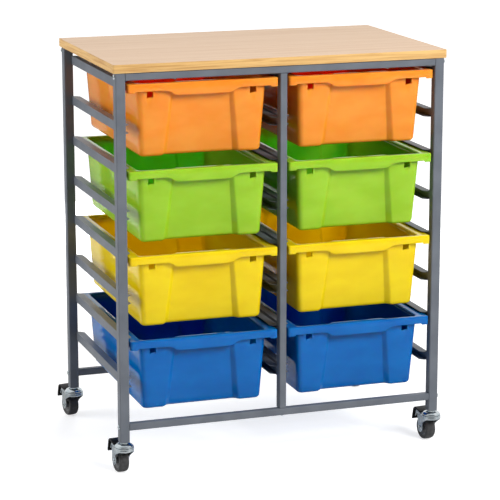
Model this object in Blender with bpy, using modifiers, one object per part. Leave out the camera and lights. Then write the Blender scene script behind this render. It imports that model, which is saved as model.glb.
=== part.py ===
"""Tote tray trolley: a steel runner frame on four braked castors, eight pull-out trays and a laminated worktop.

Metres, +Z up. The floor is z = 0, the front faces -Y and X runs across the trolley.
The origin is the bottom centre of the whole trolley, castors included.
"""

import math

import bmesh
import bpy
from mathutils import Matrix, Vector

# Driving dimensions
tray_width = 0.312
tray_length = 0.427
tray_depth = 0.149
tray_side_clearance = 0.004
tray_stack_gap = 0.024
tray_levels = 4
runners_per_tray = 2
post_size = 0.020
centre_post_width = 0.015
rail_size = 0.015
tube_wall = 0.0015
runner_height = 0.018
bottom_rail_rise = 0.0245
bottom_runner_rise = 0.069
top_runner_drop = 0.019
worktop_thickness = 0.017
worktop_side_overhang = 0.005
worktop_end_overhang = 0.002
frame_depth_allowance = 0.003
wheel_radius = 0.025
castor_trail = 0.021

# Clearances
seat_gap = 0.0003
cut_overrun = 0.004

# Castor heights, from the floor up
wheel_sides = 24
wheel_crown_clearance = 0.0012
crown_height = 0.0076
race_gap = 0.0004
cup_height = 0.0026
dome_height = 0.0046
collar_height = 0.0025

axle_z = wheel_radius * math.cos(math.pi / wheel_sides)
crown_bottom = axle_z + wheel_radius + wheel_crown_clearance
crown_top = crown_bottom + crown_height
cup_bottom = crown_top + race_gap
cup_top = cup_bottom + cup_height
dome_top = cup_top + dome_height
collar_top = dome_top + collar_height

# Frame heights and half widths, worked out from the trays and the castors
post_bottom = collar_top + seat_gap
bottom_rail_bottom = post_bottom + bottom_rail_rise
bottom_rail_top = bottom_rail_bottom + rail_size
runner_pitch = (tray_depth + tray_stack_gap) / runners_per_tray
runner_levels = tray_levels * runners_per_tray
lowest_runner = bottom_rail_top + bottom_runner_rise
top_runner = lowest_runner + (runner_levels - 1) * runner_pitch
worktop_bottom = top_runner + runner_height + top_runner_drop
worktop_top = worktop_bottom + worktop_thickness
post_top = worktop_bottom - seat_gap
top_rail_bottom = post_top - rail_size

bay_width = tray_width + 2 * tray_side_clearance
bay_centre_x = (centre_post_width + bay_width) / 2
post_x = (centre_post_width + post_size) / 2 + bay_width
frame_depth = tray_length + frame_depth_allowance
frame_front = -frame_depth / 2
post_y = (frame_depth - post_size) / 2
rail_y = (frame_depth - rail_size) / 2
worktop_front = frame_front - worktop_end_overhang

# How far each castor has swung from straight back
castor_places = (
    ("front_left", -1, -1, math.radians(5.0)),
    ("front_right", 1, -1, math.radians(5.0)),
    ("rear_left", -1, 1, math.radians(9.0)),
    ("rear_right", 1, 1, math.radians(7.0)),
)

# Brake pedal, whose corners are the trolley's rearmost points
pedal_width = 0.030
pedal_front_y = 0.0215
pedal_length = 0.0365

pedal_back_y = pedal_front_y + pedal_length
rear_swing = castor_places[2][3]
left_reach = post_x + pedal_width / 2 * math.cos(rear_swing) + pedal_back_y * math.sin(rear_swing)
rear_reach = post_y + pedal_width / 2 * math.sin(rear_swing) + pedal_back_y * math.cos(rear_swing)
right_reach = post_x + post_size / 2 + worktop_side_overhang
origin_shift = Vector(((left_reach - right_reach) / 2, -(rear_reach + worktop_front) / 2, 0))


def clear_scene():
    for item in list(bpy.data.objects):
        bpy.data.objects.remove(item, do_unlink=True)


clear_scene()
trolley = bpy.data.collections.new("tote_tray_trolley")
cutters = bpy.data.collections.new("cutters")
bpy.context.scene.collection.children.link(trolley)
bpy.context.scene.collection.children.link(cutters)


def empty(name, location, parent=None, turn=0.0):
    """Add an empty that carries the pieces parented to it."""
    item = bpy.data.objects.new(name, None)
    item.location = location
    item.rotation_euler = (0, 0, turn)
    item.parent = parent
    trolley.objects.link(item)
    return item


origin = empty("trolley_origin", origin_shift)


def material(name, colour, roughness, metallic=0.0):
    """Make a plain Principled BSDF material."""
    made = bpy.data.materials.new(name)
    made.use_nodes = True
    shader = made.node_tree.nodes["Principled BSDF"]
    shader.inputs["Base Color"].default_value = (*colour, 1)
    shader.inputs["Roughness"].default_value = roughness
    shader.inputs["Metallic"].default_value = metallic
    return made


grey_steel = material("grey_powder_coat", (0.155, 0.168, 0.2), 0.45, 0.1)
beech = material("beech_laminate", (0.76, 0.58, 0.41), 0.5)
beech_edge = material("beech_edging", (0.8, 0.52, 0.2), 0.5)
zinc = material("zinc_plate", (0.62, 0.68, 0.72), 0.25, 1.0)
black_plastic = material("black_plastic", (0.012, 0.011, 0.013), 0.4)
grey_rubber = material("grey_rubber", (0.04, 0.04, 0.042), 0.6)
dark_plastic = material("dark_plastic", (0.07, 0.068, 0.065), 0.5)
tray_colours = (
    ("orange", material("orange_plastic", (0.93, 0.27, 0.045), 0.3)),
    ("green", material("green_plastic", (0.25, 0.58, 0.04), 0.3)),
    ("yellow", material("yellow_plastic", (0.82, 0.62, 0.012), 0.3)),
    ("blue", material("blue_plastic", (0.003, 0.125, 0.46), 0.3)),
)


def add_piece(name, mesh, coat, location=(0, 0, 0), parent=origin, rotation=(0, 0, 0)):
    """Put a mesh in the trolley under its node's name."""
    item = bpy.data.objects.new(name, mesh)
    item.location = location
    item.rotation_euler = rotation
    item.parent = parent
    if not mesh.materials:
        mesh.materials.append(coat)
    trolley.objects.link(item)
    return item


def add_boolean(item, cutter, operation="DIFFERENCE"):
    tool = item.modifiers.new(cutter.name, "BOOLEAN")
    tool.operation = operation
    tool.solver = "EXACT"
    tool.object = cutter


def mesh_from(build, name):
    """Make a mesh from a bmesh that build fills."""
    shape = bmesh.new()
    build(shape)
    bmesh.ops.recalc_face_normals(shape, faces=shape.faces)
    mesh = bpy.data.meshes.new(name)
    shape.to_mesh(mesh)
    shape.free()
    return mesh


def add_box(shape, size, centre):
    place = Matrix.Translation(centre) @ Matrix.Diagonal((*size, 1))
    return bmesh.ops.create_cube(shape, size=1.0, matrix=place)["verts"]


def add_rod(shape, radius, low, high, sides):
    """Add a closed cylinder between two points."""
    start = Vector(low)
    run = Vector(high) - start
    place = Matrix.Translation(start + run / 2) @ run.to_track_quat("Z", "Y").to_matrix().to_4x4()
    bmesh.ops.create_cone(
        shape, cap_ends=True, segments=sides, radius1=radius, radius2=radius, depth=run.length, matrix=place
    )


def turned_mesh(name, profile, steps, smooth_angle=math.radians(40.0)):
    """Turn a profile of (radius, height) points about Z; the profile starts at its top."""
    mesh = bpy.data.meshes.new(name)
    closed = profile[0][0] > 0
    points = [(radius, 0, height) for radius, height in profile]
    links = [(index, index + 1) for index in range(len(points) - 1)]
    if closed:
        links.append((len(points) - 1, 0))
    mesh.from_pydata(points, links, [])
    item = bpy.data.objects.new(name, mesh)
    bpy.context.scene.collection.objects.link(item)
    screw = item.modifiers.new("turn", "SCREW")
    screw.axis = "Z"
    screw.steps = steps
    screw.render_steps = steps
    screw.use_merge_vertices = True
    screw.merge_threshold = 0.00001
    made = baked(item)
    made.shade_smooth()
    made.set_sharp_from_angle(angle=smooth_angle)
    return made


def baked(item, tools=()):
    """Return the object's evaluated mesh, and remove the object and the cutters it used."""
    bpy.context.view_layer.update()
    graph = bpy.context.evaluated_depsgraph_get()
    made = bpy.data.meshes.new_from_object(item.evaluated_get(graph))
    made.name = item.name
    for spent in (item, *tools):
        bpy.data.objects.remove(spent, do_unlink=True)
    return made


def plate_mesh(name, outline, half_width):
    """Extrude an outline of (y, z) points along X, to half_width on both sides."""
    curve = bpy.data.curves.new(name, "CURVE")
    curve.dimensions = "2D"
    curve.fill_mode = "BOTH"
    curve.extrude = half_width
    line = curve.splines.new("POLY")
    line.points.add(len(outline) - 1)
    for point, (y, z) in zip(line.points, outline):
        point.co = (y, z, 0, 1)
    line.use_cyclic_u = True
    item = bpy.data.objects.new(name, curve)
    bpy.context.scene.collection.objects.link(item)
    made = baked(item)
    shape = bmesh.new()
    shape.from_mesh(made)
    upright = Matrix.Rotation(math.pi / 2, 4, "Z") @ Matrix.Rotation(math.pi / 2, 4, "X")
    bmesh.ops.transform(shape, matrix=upright, verts=shape.verts)
    bmesh.ops.remove_doubles(shape, verts=shape.verts, dist=0.000001)
    bmesh.ops.recalc_face_normals(shape, faces=shape.faces)
    shape.to_mesh(made)
    shape.free()
    return made


def loose_object(mesh):
    """Give a mesh an object among the cutters, to be joined or cut and then removed."""
    item = bpy.data.objects.new(mesh.name, mesh)
    cutters.objects.link(item)
    return item


def shaped(base, steps):
    """Join and cut a mesh with others, one after another, and return the result."""
    item = loose_object(base)
    tools = []
    for mesh, operation in steps:
        tool = loose_object(mesh)
        tools.append(tool)
        add_boolean(item, tool, operation)
    return baked(item, tools)


def joined(name, meshes):
    """Put several meshes into one, without merging them."""
    shape = bmesh.new()
    for mesh in meshes:
        shape.from_mesh(mesh)
        bpy.data.meshes.remove(mesh)
    made = bpy.data.meshes.new(name)
    shape.to_mesh(made)
    shape.free()
    return made


def thickened(mesh, wall):
    """Give a sheet its wall, inwards from its outer side."""
    item = loose_object(mesh)
    fold = item.modifiers.new("wall", "SOLIDIFY")
    fold.thickness = wall
    fold.offset = -1
    fold.use_even_offset = True
    fold.use_quality_normals = True
    return baked(item)


# Square tubes
tube_corner_radius = 0.0016
tube_corner_segments = 1


def tube_mesh(size, along, centre):
    """Make a square tube, open at both ends, with rounded long edges."""

    def build(shape):
        add_box(shape, size, (0, 0, 0))
        ends = [face for face in shape.faces if abs(face.normal[along]) > 0.5]
        bmesh.ops.delete(shape, geom=ends, context="FACES_ONLY")
        long_edges = [edge for edge in shape.edges if len(edge.link_faces) == 2]
        bmesh.ops.bevel(
            shape, geom=long_edges, offset=tube_corner_radius, segments=tube_corner_segments,
            affect="EDGES", profile=0.5,
        )

    made = thickened(mesh_from(build, "tube"), tube_wall)
    made.transform(Matrix.Translation(centre))
    return made


def rods_mesh(rods):
    """Make cylinders from (radius, low, high, sides)."""

    def build(shape):
        for radius, low, high, sides in rods:
            add_rod(shape, radius, low, high, sides)

    return mesh_from(build, "rods")


def blocks_mesh(blocks):
    """Make boxes from (size, centre)."""

    def build(shape):
        for size, centre in blocks:
            add_box(shape, size, centre)

    return mesh_from(build, "blocks")


# Bolts through the corner posts into the rails' ends
bolt_radius = 0.003
bolt_head_radius = 0.0053
bolt_head_height = 0.003
hole_clearance = 0.0003
bolt_grip = 0.012
block_length = 0.016
block_recess = 0.0005
small_sides = 8
head_sides = 10

post_outer_x = post_x + post_size / 2
rail_end_x = post_x - post_size / 2 - seat_gap
rail_bottoms = {"bottom": bottom_rail_bottom, "top": top_rail_bottom}
sides = {"left": -1, "right": 1}
ends = {"front": -1, "rear": 1}


def bolt_hole(side, end, rail_bottom):
    """The hole through a corner post and the block in its rail's end."""
    y = end * rail_y
    z = rail_bottom + rail_size / 2
    outside = (side * (post_outer_x + cut_overrun), y, z)
    inside = (side * (rail_end_x - block_length - cut_overrun), y, z)
    return bolt_radius + hole_clearance, outside, inside, small_sides


def button_screw_mesh(shank, head_radius, head_height, shank_radius):
    """A button-head screw along Z, seated at z = 0 with its shank below."""
    lip_share = 0.4
    crown_share = 0.55
    profile = (
        (0, head_height),
        (head_radius * crown_share, head_height),
        (head_radius, head_height * lip_share),
        (head_radius, 0),
        (shank_radius, 0),
        (shank_radius, -shank),
        (0, -shank),
    )
    return turned_mesh("screw", profile, head_sides)


def build_frame_bolts():
    shank = post_size + 2 * seat_gap + bolt_grip
    bolt = button_screw_mesh(shank, bolt_head_radius, bolt_head_height, bolt_radius)
    for end_name, end in ends.items():
        for side_name, side in sides.items():
            for level_name, rail_bottom in rail_bottoms.items():
                seat = (side * (post_outer_x + seat_gap), end * rail_y, rail_bottom + rail_size / 2)
                outwards = (0, side * math.pi / 2, 0)
                name = f"frame_bolt_{level_name}_{end_name}_{side_name}"
                add_piece(name, bolt, zinc, seat, rotation=outwards)


# Front and rear rails, with the screws and pegs that hold the centre frame
screw_radius = 0.002
screw_head_radius = 0.0042
screw_head_height = 0.0022
centre_screw_grip = 0.010
peg_radius = 0.003
peg_reach = 0.004
board_screw_grip = 0.011
board_screw_x = 0.225

rail_length = 2 * rail_end_x
centre_post_bottom = bottom_rail_top + seat_gap
centre_post_top = top_rail_bottom - seat_gap
screw_hole_radius = screw_radius + hole_clearance
board_screw_hole_top = worktop_bottom + board_screw_grip + hole_clearance


def rail_mesh(end, level_name):
    """A rail is a tube with a threaded block welded into each end."""
    bottom = rail_bottoms[level_name]
    y = end * rail_y
    z = bottom + rail_size / 2
    tube = tube_mesh((rail_length, rail_size, rail_size), 0, (0, y, z))
    across = rail_size - tube_wall
    blocks = []
    holes = []
    for side in sides.values():
        block_x = side * (rail_end_x - block_recess - block_length / 2)
        blocks.append(((block_length, across, across), (block_x, y, z)))
        holes.append(bolt_hole(side, end, bottom))
    below = bottom - cut_overrun
    if level_name == "bottom":
        above = bottom_rail_top + cut_overrun
        holes.append((screw_hole_radius, (0, y, below), (0, y, above), small_sides))
    else:
        holes.append((peg_radius + hole_clearance, (0, y, below), (0, y, z), small_sides))
        for side in sides.values():
            x = side * board_screw_x
            above = post_top + cut_overrun
            holes.append((screw_hole_radius, (x, y, below), (x, y, above), small_sides))
    return shaped(tube, ((blocks_mesh(blocks), "UNION"), (rods_mesh(holes), "DIFFERENCE")))


def build_rails():
    for level_name in rail_bottoms:
        for end_name, end in ends.items():
            add_piece(f"rail_{level_name}_{end_name}", rail_mesh(end, level_name), grey_steel)


def build_centre_screws():
    """The screws hang under the bottom rails and hold the centre posts' feet."""
    shank = rail_size + 2 * seat_gap + centre_screw_grip
    screw = button_screw_mesh(shank, screw_head_radius, screw_head_height, screw_radius)
    for end_name, end in ends.items():
        seat = (0, end * rail_y, bottom_rail_bottom - seat_gap)
        add_piece(f"centre_post_screw_{end_name}", screw, zinc, seat, rotation=(math.pi, 0, 0))


# Tray runners: folded channels welded between the front and rear posts
runner_steel = 0.0015
runner_reach = 0.0126
runner_set_back = 0.0034
runner_corner_radius = 0.008
runner_corner_segments = 1

runner_end_y = frame_depth / 2 - post_size + tube_wall / 2


def channel_mesh(face_x, into_bay, bottom):
    """Fold one channel: a web behind the post's face and two flanges into the bay."""
    web_x = face_x - into_bay * runner_set_back
    lip_x = face_x + into_bay * runner_reach
    top = bottom + runner_height
    section = ((lip_x, bottom), (web_x, bottom), (web_x, top), (lip_x, top))

    def build(shape):
        front = [shape.verts.new((x, -runner_end_y, z)) for x, z in section]
        rear = [shape.verts.new((x, runner_end_y, z)) for x, z in section]
        for index in range(len(section) - 1):
            shape.faces.new((front[index], front[index + 1], rear[index + 1], rear[index]))
        bmesh.ops.bevel(
            shape, geom=[front[0], front[-1], rear[0], rear[-1]], offset=runner_corner_radius,
            segments=runner_corner_segments, affect="VERTICES", profile=0.5,
        )

    sheet = mesh_from(build, "channel")
    web = min(sheet.polygons, key=lambda face: abs(face.center.x - web_x))
    if web.normal.x * into_bay > 0:
        sheet.flip_normals()
    return thickened(sheet, runner_steel)


def channels_mesh(faces):
    """Stack the channels of every level on each post face, given as (x, side that the bay is on)."""
    channels = []
    for face_x, into_bay in faces:
        for level in range(runner_levels):
            channels.append(channel_mesh(face_x, into_bay, lowest_runner + level * runner_pitch))
    return joined("channels", channels)


# Side frames: two corner posts, their runners and the threaded blocks that take the castors
stem_radius = 0.0049
stem_sides = 12


def side_frame_mesh(side):
    height = post_top - post_bottom
    middle = (post_top + post_bottom) / 2
    across = post_size - tube_wall
    posts = []
    blocks = []
    holes = []
    for end in ends.values():
        x = side * post_x
        y = end * post_y
        posts.append(tube_mesh((post_size, post_size, height), 2, (x, y, middle)))
        block_bottom = post_bottom + block_recess
        blocks.append(((across, across, block_length), (x, y, block_bottom + block_length / 2)))
        above = block_bottom + block_length + cut_overrun
        holes.append((stem_radius + hole_clearance, (x, y, post_bottom - cut_overrun), (x, y, above), stem_sides))
        for rail_bottom in rail_bottoms.values():
            holes.append(bolt_hole(side, end, rail_bottom))
    faces = ((side * (post_x - post_size / 2), -side),)
    steps = (
        (channels_mesh(faces), "UNION"),
        (blocks_mesh(blocks), "UNION"),
        (rods_mesh(holes), "DIFFERENCE"),
    )
    return shaped(joined("posts", posts), steps)


# Centre frame: two narrow posts with runners on both sides, screwed below and pegged above
def centre_frame_mesh():
    height = centre_post_top - centre_post_bottom
    middle = (centre_post_top + centre_post_bottom) / 2
    wide = centre_post_width - tube_wall
    deep = post_size - tube_wall
    posts = []
    blocks = []
    pegs = []
    holes = []
    for end in ends.values():
        post_centre_y = end * post_y
        posts.append(tube_mesh((centre_post_width, post_size, height), 2, (0, post_centre_y, middle)))
        low_block = centre_post_bottom + block_recess + block_length / 2
        high_block = centre_post_top - block_recess - block_length / 2
        blocks.append(((wide, deep, block_length), (0, post_centre_y, low_block)))
        blocks.append(((wide, deep, block_length), (0, post_centre_y, high_block)))
        y = end * rail_y
        pegs.append((peg_radius, (0, y, high_block), (0, y, centre_post_top + peg_reach), small_sides))
        above = centre_post_bottom + block_recess + block_length + cut_overrun
        holes.append((screw_hole_radius, (0, y, centre_post_bottom - cut_overrun), (0, y, above), small_sides))
    faces = [(side * centre_post_width / 2, side) for side in sides.values()]
    steps = (
        (channels_mesh(faces), "UNION"),
        (blocks_mesh(blocks), "UNION"),
        (rods_mesh(pegs), "UNION"),
        (rods_mesh(holes), "DIFFERENCE"),
    )
    return shaped(joined("posts", posts), steps)


def build_frames():
    for side_name, side in sides.items():
        add_piece(f"side_frame_{side_name}", side_frame_mesh(side), grey_steel)
    add_piece("centre_frame", centre_frame_mesh(), grey_steel)


# Worktop
worktop_corner_radius = 0.004
worktop_corner_segments = 3
edging_thickness = 0.001

worktop_width = 2 * right_reach
worktop_depth = -2 * worktop_front


def rounded_slab(shape, width, depth, bottom, top, radius):
    corners = add_box(shape, (width, depth, top - bottom), (0, 0, (top + bottom) / 2))
    upright = [edge for edge in shape.edges if abs(edge.verts[0].co.z - edge.verts[1].co.z) > seat_gap]
    bmesh.ops.bevel(
        shape, geom=upright, offset=radius, segments=worktop_corner_segments, affect="EDGES", profile=0.5
    )
    return corners


def build_board(shape):
    inset = 2 * (edging_thickness + seat_gap)
    radius = worktop_corner_radius - edging_thickness - seat_gap
    rounded_slab(shape, worktop_width - inset, worktop_depth - inset, worktop_bottom, worktop_top, radius)


def build_edging(shape):
    """The edging starts as the outer walls alone, and Solidify gives it its thickness."""
    rounded_slab(shape, worktop_width, worktop_depth, worktop_bottom, worktop_top, worktop_corner_radius)
    flat = [face for face in shape.faces if abs(face.normal.z) > 0.5]
    bmesh.ops.delete(shape, geom=flat, context="FACES_ONLY")


def board_screw_holes():
    """Blind holes in the board for the screws that come up through the top rails."""
    holes = []
    for side in sides.values():
        for end in ends.values():
            x = side * board_screw_x
            y = end * rail_y
            low = worktop_bottom - cut_overrun
            holes.append((screw_hole_radius, (x, y, low), (x, y, board_screw_hole_top), small_sides))
    return rods_mesh(holes)


def build_worktop():
    board = shaped(mesh_from(build_board, "board"), ((board_screw_holes(), "DIFFERENCE"),))
    add_piece("worktop_board", board, beech)
    edging = thickened(mesh_from(build_edging, "edging"), edging_thickness)
    add_piece("worktop_edging", edging, beech_edge)


# Trays
tray_wall = 0.002
tray_body_side_inset = 0.0215
tray_body_end_inset = 0.009
tray_side_draft = 0.008
tray_end_draft = 0.013
tray_rim_radius = 0.012
tray_body_radius = 0.016
tray_floor_chamfer = 0.003
tray_rim_chamfer = 0.002
tray_side_lip = 0.0122
tray_end_lip = 0.015
tray_grip_lip = 0.0245
grip_half_width = 0.055
grip_ramp = 0.021
recess_top_half_width = 0.063
recess_bottom_half_width = 0.080
recess_top_depth = 0.008
recess_bottom_depth = 0.011
recess_top_slant = 0.006
recess_bottom_slant = 0.010
tray_corner_segments = 2

tray_front_stand = 0.00075


def tray_ring(half_width, half_length, radius, step_out, step_in, recess):
    """Return one closed loop of plan points: rounded corners, and a recess in each end wall."""
    points = []
    corners = ((1, -1, -90), (1, 1, 0), (-1, 1, 90), (-1, -1, 180))
    for side, end, start in corners:
        centre = (side * (half_width - radius), end * (half_length - radius))
        arc = []
        for index in range(tray_corner_segments + 1):
            angle = math.radians(start + 90 * index / tray_corner_segments)
            arc.append((centre[0] + radius * math.cos(angle), centre[1] + radius * math.sin(angle)))
        points.extend(arc)
        if (side, end) in ((1, 1), (-1, -1)):
            depth = end * (half_length - recess)
            across = side * step_out
            within = side * step_in
            rim = end * half_length
            points.extend(((across, rim), (within, depth), (-within, depth), (-across, rim)))
    return points


def lip_drop(x, y, half_length):
    """How far the rolled lip hangs below the rim at a plan point."""
    if y > -half_length + tray_rim_radius / 2 and y < half_length - tray_rim_radius / 2:
        return tray_side_lip
    if abs(x) < grip_half_width + grip_ramp / 2:
        return tray_grip_lip
    if y < 0 and abs(x) < tray_width / 2 - tray_rim_radius / 2:
        return tray_end_lip
    return tray_side_lip


def build_tray(shape):
    """A tray is one sheet: floor, drafted walls, flat rim and a lip turned down round the edge."""
    half_width = tray_width / 2
    half_length = tray_length / 2
    wide = half_width - tray_body_side_inset - tray_wall
    long = half_length - tray_body_end_inset - tray_wall
    low_wide = wide - tray_side_draft
    low_long = long - tray_end_draft
    floor = -tray_depth + tray_wall
    body_radius = tray_body_radius - tray_wall
    chamfer = tray_floor_chamfer
    low_in = recess_bottom_half_width - recess_bottom_slant
    top_in = recess_top_half_width - recess_top_slant
    lip_out = grip_half_width + grip_ramp
    inset = tray_rim_chamfer
    rings = (
        (low_wide - chamfer, low_long - chamfer, body_radius, recess_bottom_half_width, low_in,
         recess_bottom_depth, floor),
        (low_wide, low_long, body_radius, recess_bottom_half_width, low_in, recess_bottom_depth, floor + chamfer),
        (wide, long, body_radius, recess_top_half_width, top_in, recess_top_depth, 0),
        (half_width - inset, half_length - inset, tray_rim_radius - inset, lip_out, grip_half_width, 0, 0),
        (half_width, half_length, tray_rim_radius, lip_out, grip_half_width, 0, -inset),
        (half_width, half_length, tray_rim_radius, lip_out, grip_half_width, 0, None),
    )
    loops = []
    for ring_width, ring_length, radius, step_out, step_in, recess, height in rings:
        loop = []
        for x, y in tray_ring(ring_width, ring_length, radius, step_out, step_in, recess):
            z = -lip_drop(x, y, half_length) if height is None else height
            loop.append(shape.verts.new((x, y, z)))
        loops.append(loop)
    count = len(loops[0])
    for lower, upper in zip(loops, loops[1:]):
        for index in range(count):
            after = (index + 1) % count
            shape.faces.new((lower[index], lower[after], upper[after], upper[index]))
    shape.faces.new(loops[0])


def tray_mesh():
    shape = bmesh.new()
    build_tray(shape)
    bmesh.ops.recalc_face_normals(shape, faces=shape.faces)
    floor = min(shape.faces, key=lambda face: face.calc_center_median().z)
    if floor.normal.z < 0:
        bmesh.ops.reverse_faces(shape, faces=shape.faces)
    mesh = bpy.data.meshes.new("tray")
    shape.to_mesh(mesh)
    shape.free()
    return thickened(mesh, tray_wall)


def build_trays():
    moulded = tray_mesh()
    for index, (colour, plastic) in enumerate(tray_colours):
        level = runner_levels - 1 - index * runners_per_tray
        rim = lowest_runner + level * runner_pitch + runner_steel + seat_gap + tray_side_lip
        for side_name, side in (("left", -1), ("right", 1)):
            mesh = moulded.copy()
            place = (side * bay_centre_x, frame_front - tray_front_stand + tray_length / 2, rim)
            add_piece(f"tray_{colour}_{side_name}", mesh, plastic, place)


# Castor stems: threaded stem, collar, cup and king pin in one turned piece
stem_length = 0.022
collar_radius = 0.0086
dome_foot_radius = 0.0185
cup_radius = 0.0194
cup_wall = 0.002
king_pin_radius = 0.004
king_head_radius = 0.0065
king_head_height = 0.0025
crown_roof = 0.0022
race_inner_radius = 0.010

crown_underside = crown_top - crown_roof


def stem_mesh():
    race_roof = cup_top - cup_wall / 2
    head_top = crown_underside - seat_gap
    head_bottom = head_top - king_head_height
    profile = (
        (0, post_bottom + stem_length),
        (stem_radius, post_bottom + stem_length),
        (stem_radius, collar_top),
        (collar_radius, collar_top),
        (collar_radius, dome_top),
        (dome_foot_radius, cup_top),
        (cup_radius, cup_top - cup_wall / 2),
        (cup_radius, cup_bottom),
        (cup_radius - cup_wall, cup_bottom),
        (cup_radius - cup_wall, race_roof),
        (race_inner_radius, race_roof),
        (race_inner_radius, cup_bottom),
        (king_pin_radius, cup_bottom),
        (king_pin_radius, head_top),
        (king_head_radius, head_top),
        (king_head_radius, head_bottom),
        (0, head_bottom),
    )
    return turned_mesh("castor_stem", profile, stem_sides)


# Ball rings: the balls of each swivel, in their cage
ball_ring_radius = 0.0137
ball_sides = 5
ball_ring_sides = 10


def ball_ring_mesh():
    ball_radius = (cup_top - cup_wall / 2 - crown_top) / 2 - seat_gap
    middle = crown_top + seat_gap + ball_radius
    profile = []
    for index in range(ball_sides):
        angle = math.pi / 2 - 2 * math.pi * index / ball_sides
        profile.append((ball_ring_radius + ball_radius * math.cos(angle), middle + ball_radius * math.sin(angle)))
    return turned_mesh("ball_ring", profile, ball_ring_sides)


# Castor forks: a pressed crown and two legs
crown_radius = 0.0205
crown_wall = 0.002
crown_bead = 0.0007
crown_bore_clearance = 0.0003
crown_sides = 16
leg_inner_x = 0.0125
leg_thickness = 0.002
leg_end_radius = 0.0095
leg_front_y = 0.012
leg_flare_y = 0.008
leg_flare_drop = 0.002
leg_back_y = 0.0330
leg_shoulder_y = 0.0290
leg_shoulder_drop = 0.0031
leg_crest_y = 0.010
leg_arc_steps = 6
leg_curve_steps = 3
axle_radius = 0.0031
axle_clearance = 0.0003
axle_sides = 10
pivot_y = 0.0255
pivot_drop = 0.0062
pin_radius = 0.0015
pin_clearance = 0.0003

pivot_z = crown_top - pivot_drop


def crown_mesh():
    bore = king_pin_radius + crown_bore_clearance
    waist = crown_radius - crown_bead
    profile = (
        (bore, crown_top),
        (waist, crown_top),
        (crown_radius, crown_top - crown_bead),
        (crown_radius, crown_bottom),
        (crown_radius - crown_wall, crown_bottom),
        (crown_radius - crown_wall, crown_underside),
        (bore, crown_underside),
    )
    return turned_mesh("crown", profile, crown_sides)


def leg_outline():
    """The side view of a leg: from the crown, round the axle and up behind the wheel."""
    seat_z = crown_top - crown_roof / 2
    start = Vector((-leg_front_y, crown_bottom + crown_bead))
    flare = Vector((leg_flare_y, crown_bottom - leg_flare_drop))
    axle = Vector((castor_trail, axle_z))
    foot = axle + Vector((-leg_end_radius, 0))
    outline = [(-leg_front_y, seat_z)]
    for index in range(leg_curve_steps):
        share = index / leg_curve_steps
        point = start * (1 - share) ** 2 + flare * 2 * share * (1 - share) + foot * share ** 2
        outline.append(tuple(point))
    for index in range(leg_arc_steps + 1):
        angle = math.pi + math.pi * index / leg_arc_steps
        outline.append(tuple(axle + leg_end_radius * Vector((math.cos(angle), math.sin(angle)))))
    outline.append((leg_back_y, crown_bottom - leg_flare_drop))
    outline.append((leg_shoulder_y, crown_top - leg_shoulder_drop))
    outline.append((leg_crest_y, seat_z))
    return outline


def rod_mesh(name, radius, y, z, half_length, sides):
    def build(shape):
        add_rod(shape, radius, (-half_length, y, z), (half_length, y, z), sides)

    return mesh_from(build, name)


def leg_mesh(side):
    mesh = plate_mesh("leg", leg_outline(), leg_thickness / 2)
    mesh.transform(Matrix.Translation((side * (leg_inner_x + leg_thickness / 2), 0, 0)))
    return mesh


def fork_mesh():
    reach = leg_inner_x + leg_thickness + cut_overrun
    axle_hole = rod_mesh("axle_hole", axle_radius + axle_clearance, castor_trail, axle_z, reach, axle_sides)
    pin_hole = rod_mesh("pin_hole", pin_radius + pin_clearance, pivot_y, pivot_z, reach, small_sides)
    steps = (
        (leg_mesh(-1), "UNION"),
        (leg_mesh(1), "UNION"),
        (axle_hole, "DIFFERENCE"),
        (pin_hole, "DIFFERENCE"),
    )
    return shaped(crown_mesh(), steps)


# Wheels: tyre, hub and riveted axle, turned about X
tyre_half_width = 0.0105
tyre_bore = 0.0168
tyre_shoulder = 0.0022
hub_rim_radius = 0.0165
hub_rim_half_width = 0.0092
hub_boss_radius = 0.0065
hub_boss_gap = 0.0004
hub_web_half_width = 0.0062
hub_bore_clearance = 0.0003
axle_head_radius = 0.0046
axle_head_height = 0.0016
axle_dome_radius = 0.003
hub_sides = 12


def tyre_mesh():
    width = tyre_half_width
    profile = (
        (tyre_bore, width - tyre_shoulder / 2),
        (wheel_radius - tyre_shoulder, width),
        (wheel_radius, width - tyre_shoulder),
        (wheel_radius, -width + tyre_shoulder),
        (wheel_radius - tyre_shoulder, -width),
        (tyre_bore, -width + tyre_shoulder / 2),
    )
    return turned_mesh("castor_tyre", profile, wheel_sides)


def hub_mesh():
    boss = leg_inner_x - hub_boss_gap
    bore = axle_radius + hub_bore_clearance
    profile = (
        (bore, boss),
        (hub_boss_radius, boss),
        (hub_boss_radius, hub_web_half_width),
        (hub_rim_radius, hub_rim_half_width),
        (hub_rim_radius, -hub_rim_half_width),
        (hub_boss_radius, -hub_web_half_width),
        (hub_boss_radius, -boss),
        (bore, -boss),
    )
    return turned_mesh("castor_hub", profile, hub_sides)


def axle_mesh():
    seat = leg_inner_x + leg_thickness + seat_gap
    tip = seat + axle_head_height
    profile = (
        (0, tip),
        (axle_dome_radius, tip),
        (axle_head_radius, seat),
        (axle_radius, seat),
        (axle_radius, -seat),
        (axle_head_radius, -seat),
        (axle_dome_radius, -tip),
        (0, -tip),
    )
    return turned_mesh("castor_axle", profile, axle_sides)


# Brakes: a folded steel lever on a cross pin, with a moulded pedal over it
pedal_height = 0.0293
pedal_top_rise = 0.0062
lever_half_width = 0.0119
lever_steel = 0.0015
brake_travel = math.radians(12.0)
brake_contact_angle = math.radians(55.0)
shoe_size = 0.004
shoe_overlap = 0.0003

pedal_top = crown_top + pedal_top_rise
pedal_bottom = pedal_top - pedal_height

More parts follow.
